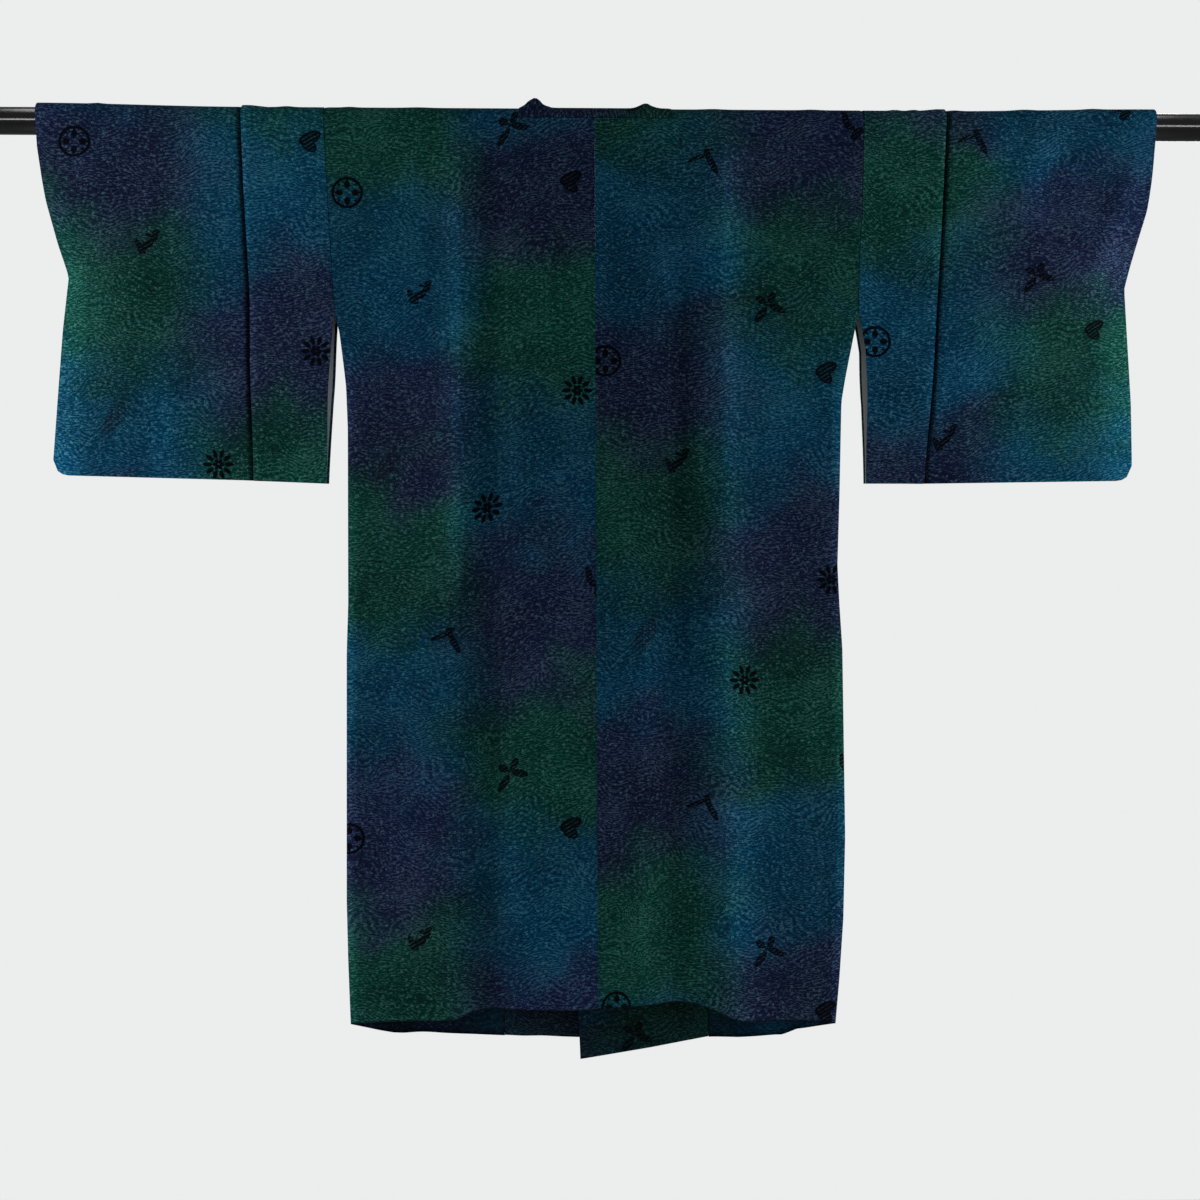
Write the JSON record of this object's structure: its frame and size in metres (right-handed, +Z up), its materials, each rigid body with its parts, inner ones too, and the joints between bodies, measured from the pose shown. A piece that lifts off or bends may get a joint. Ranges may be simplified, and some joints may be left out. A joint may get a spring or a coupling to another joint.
{
  "type": "michiyuki coat on a rod",
  "caption": "Japanese women's over-kimono coat with a square framed neck and hanging sleeves, spread flat on a round rod that runs through both sleeves.",
  "frame": {"origin": "middle of the rod that holds the coat, on the rod's axis", "axes": "+X along the rod towards the wearer's right sleeve, +Y out of the coat's front, +Z up"},
  "size_m": [1.5, 0.0492, 1.1675],
  "materials": {
    "figured_silk": "figured silk, blue, purple and green clouds with black motifs",
    "snap_cover": "silk-covered snap",
    "black_gloss_steel": "gloss black"
  },
  "bodies": {
    "root": {"body_left": "figured_silk", "body_right": "figured_silk", "sleeve_left": "figured_silk", "sleeve_right": "figured_silk", "front_band_left": "figured_silk", "front_band_right": "figured_silk", "frame_foot_left": "figured_silk", "frame_foot_right": "figured_silk", "collar_frame": "figured_silk", "snap_frame_left": "snap_cover", "snap_frame_right": "snap_cover", "snap_front": "snap_cover", "rod": "black_gloss_steel"}
  },
  "joints": []
}
